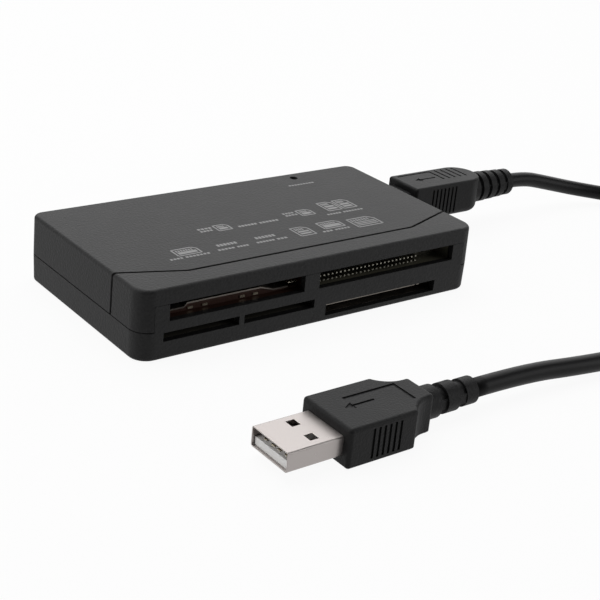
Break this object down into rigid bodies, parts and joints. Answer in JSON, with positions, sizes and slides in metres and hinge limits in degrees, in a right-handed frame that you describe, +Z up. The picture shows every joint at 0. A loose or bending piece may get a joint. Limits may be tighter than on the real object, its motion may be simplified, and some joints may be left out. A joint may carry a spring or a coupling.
{
  "type": "usb memory card reader",
  "caption": "Flat black box with card slots in two rows along its front, a detachable cable in its side socket, and a flat plug that connects it to a computer.",
  "frame": {"origin": "middle of the reader's underside, without its cable", "axes": "+X along the width towards the cable socket, +Y to the back, +Z up; the card slots face -Y"},
  "size_m": [0.2094, 0.1101, 0.0173],
  "materials": {
    "housing_plastic": "fine spark-eroded texture, satin",
    "board_laminate": "brown laminate with a satin face",
    "connector_plastic": "plain moulded, satin",
    "brown_insulator": "plain moulded, satin",
    "pale_insulator": "plain moulded, satin",
    "contact_metal": "thin gold flash over brass",
    "tinned_sheet": "tinned, satin",
    "plug_steel": "nickel plated, satin",
    "chip_plastic": "moulded epoxy, matt",
    "smoked_plastic": "smoked, polished",
    "cable_vinyl": "soft moulded vinyl, satin",
    "cord_vinyl": "extruded vinyl, satin",
    "tie_plastic": "thin flat strip, satin"
  },
  "bodies": {
    "reader": {"bottom_shell": "housing_plastic", "top_cover": "housing_plastic", "front_bezel": "housing_plastic", "main_board": "board_laminate", "pin_card_connector": "connector_plastic", "connector_pins": "contact_metal", "wide_card_base": "brown_insulator", "wide_card_plate": "tinned_sheet", "contact_fingers": "contact_metal", "thin_card_socket_left": "connector_plastic", "thin_card_socket_middle": "connector_plastic", "thin_card_contacts": "contact_metal", "flat_card_shell": "tinned_sheet", "flat_card_insulator": "connector_plastic", "flat_card_contacts": "contact_metal", "cable_socket_shell": "tinned_sheet", "cable_socket_tongue": "connector_plastic", "controller_chip": "chip_plastic", "crystal_can": "tinned_sheet", "capacitors": "brown_insulator", "resistors": "chip_plastic", "status_led": "pale_insulator", "status_light_guide": "smoked_plastic"},
    "cable": {"cable_plug_grip": "cable_vinyl", "cable_plug_shell": "tinned_sheet", "cable_plug_insert": "connector_plastic", "usb_plug_grip": "cable_vinyl", "usb_plug_shell": "plug_steel", "usb_plug_blade": "pale_insulator", "usb_plug_contacts": "contact_metal", "cord_reader_end": "cord_vinyl", "cord_coil": "cord_vinyl", "cord_plug_end": "cord_vinyl", "cord_tie": "tie_plastic"}
  },
  "joints": [
    {"name": "cable_unplug", "type": "slide", "parent": "reader", "child": "cable", "axis": [1, 0, 0], "range_m": [0, 0.008]}
  ]
}
